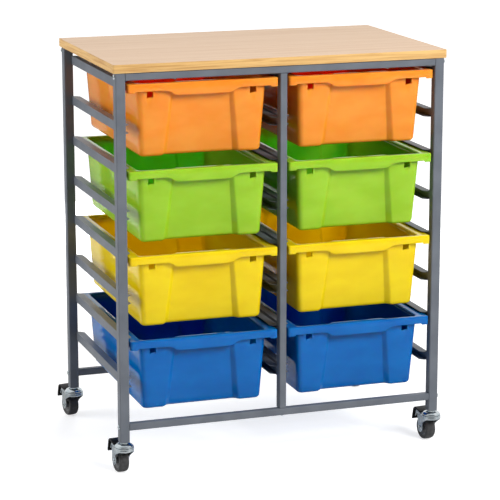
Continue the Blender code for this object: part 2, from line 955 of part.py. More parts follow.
# Side views as shares of the pedal's length, from its front, and height, from its bottom
pedal_outline_shares = (
    (0.0, 0.843),
    (0.616, 1.0),
    (0.767, 0.952),
    (0.863, 0.768),
    (1.0, 0.102),
    (0.978, 0.0),
    (0.896, 0.0),
    (0.764, 0.706),
    (0.699, 0.836),
    (0.611, 0.884),
    (0.008, 0.744),
)
lever_outline_shares = (
    (0.019, 0.54),
    (0.019, 0.69),
    (0.068, 0.737),
    (0.603, 0.863),
    (0.688, 0.816),
    (0.742, 0.686),
    (0.81, 0.29),
    (0.74, 0.256),
    (0.6, 0.56),
    (0.45, 0.52),
    (0.2, 0.512),
)
lever_hollow_shares = (
    (-0.1, 0.1),
    (-0.1, 0.62),
    (0.6, 0.808),
    (0.66, 0.776),
    (0.704, 0.672),
    (0.8, 0.1),
)


def from_shares(shares):
    return [(pedal_front_y + y * pedal_length, pedal_bottom + z * pedal_height) for y, z in shares]


def shoe_mesh():
    """The shoe stops seat_gap short of the tread when the pedal is pressed right down."""
    reach = wheel_radius + seat_gap
    touch = Vector((castor_trail, axle_z)) + reach * Vector(
        (math.cos(brake_contact_angle), math.sin(brake_contact_angle))
    )
    pivot = Vector((pivot_y, pivot_z))
    raised = pivot + Matrix.Rotation(brake_travel, 2) @ (touch - pivot)
    lean = brake_contact_angle - math.pi / 2 + brake_travel
    across = 2 * (lever_half_width - lever_steel + shoe_overlap)

    def build(shape):
        add_box(shape, (across, shoe_size, shoe_size), (0, 0, shoe_size / 2))
        place = Matrix.Translation((0, raised.x, raised.y)) @ Matrix.Rotation(lean, 4, "X")
        bmesh.ops.transform(shape, matrix=place, verts=shape.verts)

    return mesh_from(build, "shoe")


def lever_mesh():
    pin_reach = leg_inner_x + leg_thickness + seat_gap
    body = plate_mesh("brake_lever", from_shares(lever_outline_shares), lever_half_width)
    hollow = plate_mesh("hollow", from_shares(lever_hollow_shares), lever_half_width - lever_steel)
    pin = rod_mesh("pin", pin_radius, pivot_y, pivot_z, pin_reach, small_sides)
    steps = ((hollow, "DIFFERENCE"), (shoe_mesh(), "UNION"), (pin, "UNION"))
    return shaped(body, steps)


def moved(mesh, shift):
    mesh.transform(Matrix.Translation(shift))
    return mesh


def build_castors():
    """The four castors share their meshes; each has its own swivel, axle and brake axis."""
    stem = stem_mesh()
    fork = fork_mesh()
    tyre = tyre_mesh()
    hub = hub_mesh()
    axle = axle_mesh()
    lever = moved(lever_mesh(), (0, -pivot_y, -pivot_z))
    pedal_plate = plate_mesh("brake_pedal", from_shares(pedal_outline_shares), pedal_width / 2)
    pedal = moved(pedal_plate, (0, -pivot_y, -pivot_z))
    across = Matrix.Rotation(math.pi / 2, 3, "Y")
    flat_down = (Matrix.Rotation(math.pi / wheel_sides, 3, "X") @ across).to_euler()
    balls = ball_ring_mesh()
    for name, side, end, swing in castor_places:
        foot = (side * post_x, end * post_y, 0)
        add_piece(f"castor_stem_{name}", stem, zinc, foot)
        add_piece(f"castor_ball_ring_{name}", balls, zinc, foot)
        swivel = empty(f"swivel_{name}", foot, origin, swing)
        axis = empty(f"axle_{name}", (0, castor_trail, axle_z), swivel)
        hinge = empty(f"brake_{name}", (0, pivot_y, pivot_z), swivel)
        add_piece(f"castor_fork_{name}", fork, zinc, parent=swivel)
        add_piece(f"castor_axle_{name}", axle, zinc, parent=axis, rotation=across.to_euler())
        add_piece(f"castor_tyre_{name}", tyre, grey_rubber, parent=axis, rotation=flat_down)
        add_piece(f"castor_hub_{name}", hub, dark_plastic, parent=axis, rotation=across.to_euler())
        add_piece(f"brake_lever_{name}", lever, zinc, parent=hinge)
        add_piece(f"brake_pedal_{name}", pedal, black_plastic, parent=hinge)


build_frames()
build_rails()
build_frame_bolts()
build_centre_screws()
build_worktop()
build_trays()
build_castors()

bpy.context.view_layer.update()
print(f"Trolley {worktop_width:.3f} wide, {worktop_top:.3f} high; runners every {runner_pitch:.4f}.")
print(f"Origin shift {origin_shift.x:.4f}, {origin_shift.y:.4f}.")
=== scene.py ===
# Tote tray trolley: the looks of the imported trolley, its camera, lights and floor.
import math

import bmesh
import bpy
from mathutils import Matrix, Vector


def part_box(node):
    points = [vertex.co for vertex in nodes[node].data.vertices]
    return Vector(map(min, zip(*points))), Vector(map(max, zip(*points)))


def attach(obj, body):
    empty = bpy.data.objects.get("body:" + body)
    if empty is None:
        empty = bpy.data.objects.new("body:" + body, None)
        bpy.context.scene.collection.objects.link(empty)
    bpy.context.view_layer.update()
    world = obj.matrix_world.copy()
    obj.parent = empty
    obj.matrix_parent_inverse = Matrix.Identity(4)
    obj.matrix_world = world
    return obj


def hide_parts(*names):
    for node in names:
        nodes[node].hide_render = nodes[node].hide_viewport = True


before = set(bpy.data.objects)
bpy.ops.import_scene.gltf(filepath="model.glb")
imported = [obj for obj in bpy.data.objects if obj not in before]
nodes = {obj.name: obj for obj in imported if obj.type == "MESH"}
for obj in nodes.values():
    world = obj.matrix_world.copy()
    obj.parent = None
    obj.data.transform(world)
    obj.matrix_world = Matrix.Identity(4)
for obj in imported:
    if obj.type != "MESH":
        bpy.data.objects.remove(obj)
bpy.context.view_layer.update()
mm = 0.001
sides = {"left": -1, "right": 1}
ends = {"front": -1, "rear": 1}
print("frame loaded")


# ---- modelling helpers

meshSettings = {
    # distances in metres, angles in degrees
    "merge": 0.000004,
    "poleReach": 0.00001,
    "flatAngle": 0.6,
    "plateAngle": 20,
    # the shortest neighbour that a rounded edge may have, in widths of the round
    "freeReach": 2.4,
}


def pick(item):
    bpy.ops.object.select_all(action="DESELECT")
    item.select_set(True)
    bpy.context.view_layer.objects.active = item
    return item


def openMesh(item, mode="VERT"):
    pick(item)
    bpy.ops.object.mode_set(mode="EDIT")
    bpy.ops.mesh.select_mode(type=mode)
    bpy.ops.mesh.select_all(action="DESELECT")


def closeMesh(item):
    bpy.ops.object.mode_set(mode="OBJECT")
    return item


def selectWhere(item, parts, test):
    # selects the verts, edges or faces of the open mesh that pass the test
    shape = bmesh.from_edit_mesh(item.data)
    for part in getattr(shape, parts):
        if test(part):
            part.select_set(True)
    bmesh.update_edit_mesh(item.data)


def mergeMesh(item, outwards=True):
    openMesh(item)
    bpy.ops.mesh.select_all(action="SELECT")
    bpy.ops.mesh.remove_doubles(threshold=meshSettings["merge"])
    if outwards:
        bpy.ops.mesh.normals_make_consistent(inside=False)
    return closeMesh(item)


def applyModifiers(item):
    pick(item)
    for tool in list(item.modifiers):
        bpy.ops.object.modifier_apply(modifier=tool.name)
    return item


def smoothByAngle(item, angle=35):
    pick(item)
    bpy.ops.object.shade_smooth_by_angle(angle=math.radians(angle))
    return item


def softenEdges(item, width, segments=2, angle=32):
    # a small round on every edge sharper than the angle, so that edges catch the light
    bevel = item.modifiers.new("softEdges", "BEVEL")
    bevel.width = width
    bevel.segments = segments
    bevel.limit_method = "ANGLE"
    bevel.angle_limit = math.radians(angle)
    bevel.use_clamp_overlap = True
    applyModifiers(item)
    return smoothByAngle(item)


def giveWall(item, thickness):
    wall = item.modifiers.new("wall", "SOLIDIFY")
    wall.thickness = thickness
    wall.offset = -1
    wall.use_even_offset = True
    wall.use_quality_normals = True
    return applyModifiers(item)


def cutWith(item, tool):
    cut = item.modifiers.new("cut", "BOOLEAN")
    cut.object = tool
    cut.solver = "EXACT"
    applyModifiers(item)
    bpy.data.objects.remove(tool, do_unlink=True)
    return item


def newBox(name, centre, size):
    bpy.ops.object.select_all(action="DESELECT")
    bpy.ops.mesh.primitive_cube_add(size=1, location=centre, scale=size)
    item = bpy.context.object
    item.name = name
    bpy.ops.object.transform_apply(location=True, rotation=True, scale=True)
    return item


def newRod(name, centre, radius, length, turn=(0, 0, 0), sides=24):
    bpy.ops.object.select_all(action="DESELECT")
    bpy.ops.mesh.primitive_cylinder_add(
        vertices=sides, radius=radius, depth=length, location=centre, rotation=turn)
    item = bpy.context.object
    item.name = name
    bpy.ops.object.transform_apply(location=True, rotation=True, scale=True)
    return item


def newOutline(name, points, fill="NGON"):
    # a circle whose points are moved onto the outline
    bpy.ops.object.select_all(action="DESELECT")
    bpy.ops.mesh.primitive_circle_add(vertices=len(points), radius=0.1, fill_type=fill)
    item = bpy.context.object
    item.name = name
    for vert, point in zip(item.data.vertices, points):
        vert.co = point
    item.data.update()
    return item


def newSpun(name, profile, steps):
    # a profile of (radius, height) corners spun about Z, its poles closed
    item = newOutline(name, [Vector((radius, 0, height)) for radius, height in profile], "NOTHING")
    openMesh(item, "EDGE")
    reach = meshSettings["poleReach"]
    selectWhere(item, "edges", lambda edge: all(vert.co.x < reach for vert in edge.verts))
    bpy.ops.mesh.delete(type="EDGE")
    bpy.ops.mesh.select_all(action="SELECT")
    bpy.ops.mesh.spin(steps=steps, angle=2 * math.pi, center=(0, 0, 0), axis=(0, 0, 1))
    closeMesh(item)
    return smoothByAngle(mergeMesh(item))


def newPlate(name, outline, halfWidth, softness, segments=3):
    # an outline of (y, z) corners, extruded along X to halfWidth on both sides
    item = newOutline(name, [Vector((-halfWidth, y, z)) for y, z in outline])
    openMesh(item, "FACE")
    bpy.ops.mesh.select_all(action="SELECT")
    bpy.ops.mesh.extrude_region_move(TRANSFORM_OT_translate={"value": (2 * halfWidth, 0, 0)})
    closeMesh(item)
    mergeMesh(item)
    return softenEdges(item, softness, segments, meshSettings["plateAngle"])


def newLoft(name, rings, capped=False):
    # a circle laid on the first ring and extruded to each next one, column by column
    item = newOutline(name, rings[0])
    openMesh(item, "EDGE")
    shape = bmesh.from_edit_mesh(item.data)
    column = shape.verts.layers.int.new("column")
    for index, vert in enumerate(shape.verts):
        vert[column] = index
    for edge in shape.edges:
        edge.select_set(True)
    bmesh.update_edit_mesh(item.data)
    for ring in rings[1:]:
        bpy.ops.mesh.extrude_edges_indiv()
        shape = bmesh.from_edit_mesh(item.data)
        column = shape.verts.layers.int["column"]
        for vert in shape.verts:
            if vert.select:
                vert.co = ring[vert[column]]
        bmesh.update_edit_mesh(item.data)
    if capped:
        bpy.ops.mesh.edge_face_add()
    return closeMesh(item)


def moved(item, place):
    item.data.transform(place)
    return item


def copied(item, name, place):
    # a copy with its own mesh, which takes the place itself
    twin = bpy.data.objects.new(name, item.data.copy())
    twin.data.name = name
    bpy.context.scene.collection.objects.link(twin)
    twin.data.transform(place)
    return twin


def joinedPieces(items, name):
    bpy.ops.object.select_all(action="DESELECT")
    for item in items:
        item.select_set(True)
    bpy.context.view_layer.objects.active = items[0]
    bpy.ops.object.join()
    items[0].name = name
    return items[0]


def roundFreeEdges(item, width, angle=28):
    # rounds the sharp edges that have no short neighbour, and keeps the flats' own normals
    mesh = item.data
    normals = {}
    for face in mesh.polygons:
        for key in face.edge_keys:
            normals.setdefault(key, []).append(face.normal)
    shortest = {}
    for edge in mesh.edges:
        start, stop = [mesh.vertices[corner].co for corner in edge.vertices]
        length = (start - stop).length
        for corner in edge.vertices:
            shortest[corner] = min(shortest.get(corner, length), length)
    weights = mesh.attributes.new("bevel_weight_edge", "FLOAT", "EDGE")
    for edge in mesh.edges:
        first, second = normals[edge.key]
        neighbour = min(shortest[corner] for corner in edge.vertices)
        isFree = neighbour > meshSettings["freeReach"] * width
        if isFree and first.angle(second) > math.radians(angle):
            weights.data[edge.index].value = 1
    bevel = item.modifiers.new("freeEdges", "BEVEL")
    bevel.width = width
    bevel.segments = 3
    bevel.limit_method = "WEIGHT"
    bevel.use_clamp_overlap = False
    smoothByAngle(applyModifiers(item))
    even = item.modifiers.new("evenNormals", "WEIGHTED_NORMAL")
    even.keep_sharp = True
    return applyModifiers(item)


def cadCopy(node, name, softness):
    # a node's own shape, its loose triangles merged and its longer edges rounded
    item = bpy.data.objects.new(name, nodes[node].data.copy())
    bpy.context.scene.collection.objects.link(item)
    mergeMesh(item, outwards=False)
    openMesh(item)
    bpy.ops.mesh.select_all(action="SELECT")
    bpy.ops.mesh.dissolve_limited(angle_limit=math.radians(meshSettings["flatAngle"]))
    return roundFreeEdges(closeMesh(item), softness)


def finish(item, body, slot, coat, *replaced):
    item.data.materials.clear()
    item.data.materials.append(coat)
    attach(item, body)
    if replaced:
        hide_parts(*replaced)
    return item


def smoothStep(value):
    share = min(max(value, 0), 1)
    return share * share * (3 - 2 * share)


# ---- finishes

def linearColour(hexText):
    channels = [int(hexText[i:i + 2], 16) / 255 for i in (1, 3, 5)]
    return [c / 12.92 if c <= 0.04045 else ((c + 0.055) / 1.055) ** 2.4 for c in channels] + [1]


def addNode(tree, kind, values=None, links=None, **settings):
    node = tree.nodes.new(kind)
    for key, value in settings.items():
        setattr(node, key, value)
    for socket, value in (values or {}).items():
        node.inputs[socket].default_value = value
    for socket, source in (links or {}).items():
        tree.links.new(source, node.inputs[socket])
    return node


def newFinish(name, **values):
    coat = bpy.data.materials.new(name)
    coat.use_nodes = True
    tree = coat.node_tree
    shader = tree.nodes["Principled BSDF"]
    for socket, value in values.items():
        shader.inputs[socket.replace("_", " ")].default_value = value
    place = addNode(tree, "ShaderNodeTexCoord").outputs["Object"]
    return coat, tree, shader, place


def stretched(tree, place, scale):
    return addNode(tree, "ShaderNodeMapping", {"Scale": scale}, {"Vector": place}).outputs["Vector"]


def noiseOver(tree, place, scale, detail, **values):
    values = {"Scale": scale, "Detail": detail, **values}
    return addNode(tree, "ShaderNodeTexNoise", values, {"Vector": place}).outputs["Fac"]


def toneRamp(tree, level, *stops):
    # each stop is a position and a colour
    ramp = addNode(tree, "ShaderNodeValToRGB", links={"Fac": level})
    for stop, (position, colour) in zip(ramp.color_ramp.elements, stops):
        stop.position = position
        stop.color = linearColour(colour)
    return ramp.outputs["Color"]


def driftTone(tree, shader, place, dark, light, size, stretch=(1, 1, 1)):
    # the colour drifts slowly between two close tones
    cloud = noiseOver(tree, stretched(tree, place, stretch), 1 / size, 2.0)
    tone = toneRamp(tree, cloud, (0.35, dark), (0.65, light))
    tree.links.new(tone, shader.inputs["Base Color"])


def driftGloss(tree, shader, place, size, low, high):
    cloud = noiseOver(tree, place, 1 / size, 4.0)
    level = addNode(tree, "ShaderNodeMapRange", {"To Min": low, "To Max": high}, {"Value": cloud})
    tree.links.new(level.outputs["Result"], shader.inputs["Roughness"])


def grainRelief(tree, shader, place, size, height, strength):
    grain = noiseOver(tree, place, 1 / size, 3.0)
    bump = addNode(tree, "ShaderNodeBump", {"Strength": strength, "Distance": height},
                   {"Height": grain})
    tree.links.new(bump.outputs["Normal"], shader.inputs["Normal"])


def powderCoatedSteel():
    # polyester powder baked on mild steel: satin grey with an orange peel, which is about 0.8 mm
    # across on the real coat and is drawn three times as coarse so that it shows
    coat, tree, shader, place = newFinish("powderCoatedSteel", IOR=1.5, Specular_IOR_Level=0.4)
    driftTone(tree, shader, place, "#5E636B", "#676C74", 0.05)
    driftGloss(tree, shader, place, 0.03, 0.34, 0.46)
    grainRelief(tree, shader, place, 0.0024, 0.00006, 0.35)
    return coat


def mouldedPolypropylene(name, dark, light, reach):
    # injection-moulded polypropylene: smooth, fairly glossy, with faint flow marks along the pull,
    # and a thin wall that glows in its own colour, because that light reaches furthest in it
    coat, tree, shader, place = newFinish(
        name, IOR=1.49, Specular_IOR_Level=0.3, Subsurface_Weight=0.75,
        Subsurface_Radius=reach, Subsurface_Scale=0.006)
    driftTone(tree, shader, place, dark, light, 0.07, (1, 0.6, 2))
    driftGloss(tree, shader, place, 0.02, 0.06, 0.10)
    grainRelief(tree, shader, place, 0.004, 0.00002, 0.15)
    return coat


def beechMelamine():
    # melamine paper printed as steamed beech, pressed on chipboard: straight grain along X with
    # short darker rays 3 to 8 mm long
    coat, tree, shader, place = newFinish("beechMelamine", IOR=1.5, Specular_IOR_Level=0.3)
    bands = stretched(tree, place, (1.2, 26, 1))
    wave = noiseOver(tree, bands, 2.2, 6.0, Roughness=0.62, Distortion=0.35)
    tone = toneRamp(tree, wave, (0.3, "#DBB896"), (0.7, "#E8CAAD"))
    rays = noiseOver(tree, stretched(tree, place, (150, 1500, 1)), 1.0, 1.0)
    sparse = addNode(tree, "ShaderNodeMapRange", {"From Min": 0.6, "From Max": 0.7, "To Max": 0.4},
                     {"Value": rays})
    mixed = addNode(tree, "ShaderNodeMix", links={"Factor": sparse.outputs["Result"]},
                    data_type="RGBA")
    mixed.inputs["B"].default_value = linearColour("#CBA988")
    tree.links.new(tone, mixed.inputs["A"])
    tree.links.new(mixed.outputs["Result"], shader.inputs["Base Color"])
    driftGloss(tree, shader, place, 0.04, 0.42, 0.52)
    grainRelief(tree, shader, place, 0.003, 0.00002, 0.25)
    return coat


def beechLipping():
    # glued lipping strip, warmer and yellower than the top, with its grain along the edge
    coat, tree, shader, place = newFinish("beechLipping", IOR=1.5, Specular_IOR_Level=0.35)
    lines = stretched(tree, place, (5, 5, 150))
    grain = noiseOver(tree, lines, 1.6, 5.0, Roughness=0.6, Distortion=0.8)
    tone = toneRamp(tree, grain, (0.32, "#B98B52"), (0.6, "#D9B173"))
    tree.links.new(tone, shader.inputs["Base Color"])
    driftGloss(tree, shader, place, 0.02, 0.4, 0.5)
    grainRelief(tree, shader, place, 0.002, 0.00003, 0.3)
    return coat


def zincPlatedSteel():
    # bright electroplated zinc with a faint blue passivation, clean and mirror-like in the bends
    coat, tree, shader, place = newFinish("zincPlatedSteel", Metallic=1.0)
    driftTone(tree, shader, place, "#B4C0C6", "#CFD6D9", 0.006)
    driftGloss(tree, shader, place, 0.004, 0.09, 0.17)
    grainRelief(tree, shader, place, 0.0015, 0.00001, 0.12)
    return coat


def mouldedPart(name, ior, specular, dark, light, size, gloss, relief):
    # rubber or nylon as it comes from the mould: matt, with a grain too fine to see drawn at 1 mm
    coat, tree, shader, place = newFinish(name, IOR=ior, Specular_IOR_Level=specular)
    driftTone(tree, shader, place, dark, light, size)
    driftGloss(tree, shader, place, size / 2, *gloss)
    grainRelief(tree, shader, place, 0.001, 0.00004, relief)
    return coat


powderCoat = powderCoatedSteel()
melamine = beechMelamine()
lipping = beechLipping()
brightZinc = zincPlatedSteel()
treadRubber = mouldedPart("thermoplasticRubber", 1.52, 0.4, "#333334", "#424243", 0.008,
                          (0.42, 0.58), 0.5)
hubNylon = mouldedPart("greyNylon", 1.53, 0.5, "#555658", "#69696B", 0.01, (0.35, 0.5), 0.4)
pedalNylon = mouldedPart("blackNylon", 1.53, 0.15, "#0F0E0F", "#161517", 0.01, (0.3, 0.42), 0.4)
plasticTones = {
    # dark tone, light tone and how far each channel's light reaches inside
    "orange": ("#F28A24", "#F89432", (1, 0.4, 0.2)),
    "green": ("#91BD22", "#9BC62F", (0.4, 1, 0.8)),
    "yellow": ("#E9C40A", "#F0CD10", (1, 0.85, 0.4)),
    "blue": ("#0162AD", "#0269B5", (0.2, 0.4, 0.7)),
}
trayPlastics = {colour: mouldedPolypropylene(f"{colour}Polypropylene", *tones)
                for colour, tones in plasticTones.items()}
print("finishes made")


# ---- frame: the welded tubes and channels, their longer edges rounded as on drawn tube

frameSizes = {"edgeRound": 0.0005}

for side in sides:
    welded = cadCopy(f"side_frame_{side}", f"sideFrameTube_{side}", frameSizes["edgeRound"])
    finish(welded, "frame", "frame", powderCoat, f"side_frame_{side}")
centre = cadCopy("centre_frame", "centreFrameTube", frameSizes["edgeRound"])
finish(centre, "frame", "frame", powderCoat, "centre_frame")
for level in ("bottom", "top"):
    for end in ends:
        rail = cadCopy(f"rail_{level}_{end}", f"railTube_{level}_{end}", frameSizes["edgeRound"])
        finish(rail, "frame", "frame", powderCoat, f"rail_{level}_{end}")
print("frame dressed")


# ---- worktop: a melamine board with a thin lipping glued round it

worktopSizes = {
    "lipping": 0.0013,
    "corner": 0.004,
    "cornerSteps": 8,
    "edgeEase": 0.0005,
    "easeAngle": 60,
    "screwReach": 0.225,
}

slabLow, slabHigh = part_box("worktop_edging")
slabCentre = (slabLow + slabHigh) / 2


def roundedSlab(name, inset):
    size = slabHigh - slabLow - Vector((2 * inset, 2 * inset, 0))
    slab = newBox(name, slabCentre, size)
    openMesh(slab, "EDGE")
    selectWhere(slab, "edges", lambda edge: abs(edge.verts[0].co.z - edge.verts[1].co.z) > mm)
    bpy.ops.mesh.bevel(offset=worktopSizes["corner"] - inset,
                       segments=worktopSizes["cornerSteps"], affect="EDGES")
    return closeMesh(slab)


board = smoothByAngle(roundedSlab("melamineBoard", worktopSizes["lipping"]))
finish(board, "frame", "board", melamine, "worktop_board")

band = roundedSlab("lippingBand", 0)
openMesh(band, "FACE")
selectWhere(band, "faces", lambda face: abs(face.normal.z) > 0.5)
bpy.ops.mesh.delete(type="ONLY_FACE")
closeMesh(band)
giveWall(band, worktopSizes["lipping"])
softenEdges(band, worktopSizes["edgeEase"], 3, worktopSizes["easeAngle"])
finish(band, "frame", "edging", lipping, "worktop_edging")
print("worktop made")


# ---- trays: one moulded shell, lofted up its walls, over the rim and down the rolled lip

traySizes = {
    "halfWidth": 0.156,
    "halfLength": 0.2135,
    "depth": 0.149,
    "wall": 0.002,
    "rimWide": 0.1325,
    "rimLong": 0.2025,
    "floorWide": 0.1245,
    "floorLong": 0.1895,
    "floorRound": 0.006,
    "rimRound": 0.0026,
    "ledgeDepth": 0.0062,
    "ledgeStep": 0.0014,
    "edgeRound": 0.0022,
    "bodyCorner": 0.010,
    "leastCorner": 0.004,
    "lipCorner": 0.006,
    "cornerSteps": 7,
    "recessTop": (0.063, 0.057, 0.008),
    "recessFloor": (0.080, 0.070, 0.011),
    "recessRound": 0.0024,
    "recessShrink": 0.8,
    # heights up the wall, rises and shares of the ledge's step, and shares of the lip's drop
    "wallHeights": (-0.100, -0.055, -0.022),
    "ledgeRings": ((-0.0009, 1), (-0.0003, 0.85), (0, 0.45), (0.0004, 0.1)),
    "lipRings": (0.4, 1.0),
    "sideLip": 0.0122,
    "endLip": 0.0150,
    "hookLip": 0.0177,
    "hookSteps": (0.0088, 0.0104),
    "gripLip": 0.0245,
    "gripInner": 0.053,
    "gripOuter": 0.077,
    "gripSteps": 5,
    "lipEdge": 0.0006,
    "lipAngle": 50,
}


def recessHalf(halfLength, outer, inner, depth):
    # one half of an end wall, from its pillar over the slanted side to the sunk panel
    size = traySizes["recessRound"]
    wall = Vector((outer, halfLength))
    panel = Vector((inner, halfLength - depth))
    slant = (panel - wall).normalized() * size
    across = Vector((-size, 0))
    return [wall - across, wall + (slant - across) / 4, wall + slant,
            panel - slant, panel + (across - slant) / 4, panel + across]


def gripHalf(halfLength):
    # the same columns on the rim, spread over the grip's ramp
    inner, outer, steps = [traySizes[key] for key in ("gripInner", "gripOuter", "gripSteps")]
    return [Vector((outer + (inner - outer) * step / steps, halfLength))
            for step in range(steps + 1)]


def cornerArc(halfWidth, halfLength, radius, side, end):
    # one rounded corner, anticlockwise seen from above
    start = {(1, -1): -90, (1, 1): 0, (-1, 1): 90, (-1, -1): 180}[side, end]
    centre = Vector((side * (halfWidth - radius), end * (halfLength - radius)))
    steps = traySizes["cornerSteps"]
    turns = [math.radians(start + 90 * step / steps) for step in range(steps + 1)]
    return [centre + radius * Vector((math.cos(turn), math.sin(turn))) for turn in turns]


def trayRing(halfWidth, halfLength, radius, half, height):
    # one closed ring of plan points, anticlockwise from the front wall's left end
    steps = traySizes["hookSteps"]
    half = [Vector((halfWidth - radius - step, halfLength)) for step in steps] + half
    rear = half + [Vector((-point.x, point.y)) for point in reversed(half)]
    front = [Vector((-point.x, -point.y)) for point in rear]
    flank = [Vector((halfWidth, radius + step - halfLength)) for step in steps]
    right = flank + [Vector((point.x, -point.y)) for point in reversed(flank)]
    left = [Vector((-point.x, -point.y)) for point in right]
    arcs = [cornerArc(halfWidth, halfLength, radius, side, end)
            for side, end in ((1, -1), (1, 1), (-1, 1), (-1, -1))]
    points = front + arcs[0] + right + arcs[1] + rear + arcs[2] + left + arcs[3]
    return [Vector((point.x, point.y, height)) for point in points]


def bodyRing(share, height, shrink=0.0):
    # a ring of the body, where share runs from 0 at the floor to 1 at the rim
    def between(key):
        low, high = traySizes["floor" + key], traySizes["rim" + key]
        return low + (high - low) * share - shrink

    outer, inner, depth = [low + (high - low) * share
                           for low, high in zip(traySizes["recessFloor"], traySizes["recessTop"])]
    halfLength = between("Long")
    radius = max(traySizes["bodyCorner"] - shrink, traySizes["leastCorner"])
    widening = shrink * traySizes["recessShrink"]
    half = recessHalf(halfLength, outer + widening, inner + widening, depth)
    return trayRing(between("Wide"), halfLength, radius, half, height)


def lipDrop(point):
    # how far the lip hangs: low at the sides and rear corners, which slide over the runners, more
    # at the ends, most at the grip, and a short hook round each front corner that stops the tray
    # against its runners
    cornerStart = traySizes["halfLength"] - traySizes["lipCorner"]
    hookStart = traySizes["lipCorner"] + sum(traySizes["hookSteps"]) / 2
    if abs(point.x) > traySizes["halfWidth"] - hookStart:
        return traySizes["hookLip" if point.y < hookStart - traySizes["halfLength"] else "sideLip"]
    onEnd = smoothStep((abs(point.y) - cornerStart) / traySizes["lipCorner"])
    drop = traySizes["sideLip"] + (traySizes["endLip"] - traySizes["sideLip"]) * onEnd
    inner, outer = traySizes["gripInner"], traySizes["gripOuter"]
    grip = smoothStep((outer - abs(point.x)) / (outer - inner)) if onEnd > 0.99 else 0
    return drop + (traySizes["gripLip"] - drop) * grip


def trayRings():
    floor = -traySizes["depth"] + traySizes["wall"]
    floorRound, rimRound = traySizes["floorRound"], traySizes["rimRound"]
    edgeRound, lipCorner = traySizes["edgeRound"], traySizes["lipCorner"]
    quarter = [math.radians(turn) for turn in (0, 30, 60, 90)]
    rings = []
    for turn in quarter:
        height = floor + floorRound * (1 - math.cos(turn))
        shrink = floorRound * (1 - math.sin(turn))
        rings.append(bodyRing((height - floor) / -floor, height, shrink))
    for height in traySizes["wallHeights"]:
        rings.append(bodyRing((height - floor) / -floor, height))
    ledge, step = -traySizes["ledgeDepth"], traySizes["ledgeStep"]
    for rise, share in traySizes["ledgeRings"]:
        rings.append(bodyRing(1, ledge + rise, step * share))
    for turn in quarter:
        height, shrink = -rimRound * (1 - math.sin(turn)), -rimRound * (1 - math.cos(turn))
        rings.append(bodyRing(1, height, shrink))
    for turn in quarter:
        inset = edgeRound * (1 - math.sin(turn))
        halfLength = traySizes["halfLength"] - inset
        rings.append(trayRing(traySizes["halfWidth"] - inset, halfLength, lipCorner - inset,
                              gripHalf(halfLength), -edgeRound * (1 - math.cos(turn))))
    for share in traySizes["lipRings"]:
        ring = trayRing(traySizes["halfWidth"], traySizes["halfLength"], lipCorner,
                        gripHalf(traySizes["halfLength"]), 0)
        for point in ring:
            point.z = -edgeRound - (lipDrop(point) - edgeRound) * share
        rings.append(ring)
    return rings


labelSizes = {
    # slots that take a clip-on label, as (x, z) from the slot's middle and the rim's top
    "places": (-0.108, 0.105),
    "slot": ((-0.0058, -0.010), (0.0058, -0.010), (0.0058, -0.0276), (-0.0058, -0.0303)),
    "depth": (-0.212, -0.199),
    "slotRound": 0.0004,
    "ribCentre": (0.0075, -0.2040, -0.0170),
    "rib": (0.0032, 0.0052, 0.0210),
    "ribRound": 0.0007,
}


def cutLabelSlots(tray):
    # cuts both slots through the front wall and returns the rib beside each one
    near, far = labelSizes["depth"]
    lengthwise = Matrix.Rotation(math.pi / 2, 4, "Z")
    ribs = []
    for place in labelSizes["places"]:
        outline = [(-place - x, z) for x, z in labelSizes["slot"]]
        slot = newPlate("slot", outline, (far - near) / 2, labelSizes["slotRound"], 1)
        moved(slot, Matrix.Translation((0, (near + far) / 2, 0)) @ lengthwise)
        cutWith(tray, slot)
        x, y, z = labelSizes["ribCentre"]
        rib = newBox("rib", (place + x, y, z), labelSizes["rib"])
        ribs.append(softenEdges(rib, labelSizes["ribRound"], 3))
    return ribs


def newTray():
    tray = newLoft("tray", trayRings())
    mergeMesh(tray)
    floor = min(tray.data.polygons, key=lambda face: face.center.z)
    if floor.normal.z < 0:
        openMesh(tray)
        bpy.ops.mesh.select_all(action="SELECT")
        bpy.ops.mesh.flip_normals()
        closeMesh(tray)
    giveWall(tray, traySizes["wall"])
    ribs = cutLabelSlots(tray)
    softenEdges(tray, traySizes["lipEdge"], 2, traySizes["lipAngle"])
    return joinedPieces([tray] + ribs, "tray")


trayShell = newTray()
for colour, plastic in trayPlastics.items():
    for side in sides:
        name = f"tray_{colour}_{side}"
        low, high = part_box(name)
        middle = (low + high) / 2
        place = Matrix.Translation((middle.x, middle.y, high.z))
        tray = copied(trayShell, f"mouldedTray_{colour}_{side}", place)
        finish(tray, name, f"{colour}_plastic", plastic, name)
bpy.data.objects.remove(trayShell, do_unlink=True)
print("trays made")


# ---- screws: button heads with a hexagon socket

screwSizes = {
    # head radius, head height, shank radius, socket radius, socket depth, in mm
    "M6": (5.3, 3.0, 3.0, 2.0, 1.7),
    "M4": (4.2, 2.2, 2.0, 1.4, 1.2),
    "boardScrewLength": 0.0262,
    "seatGap": 0.0003,
    # the head's dome: its points' turns and the share of its height that is a straight rim
    "domeTurns": (90, 60, 45, 30, 15, 0),
    "domeRim": 0.25,
    "steps": 32,
    "edgeRound": 0.00012,
    "edgeAngle": 40,
}


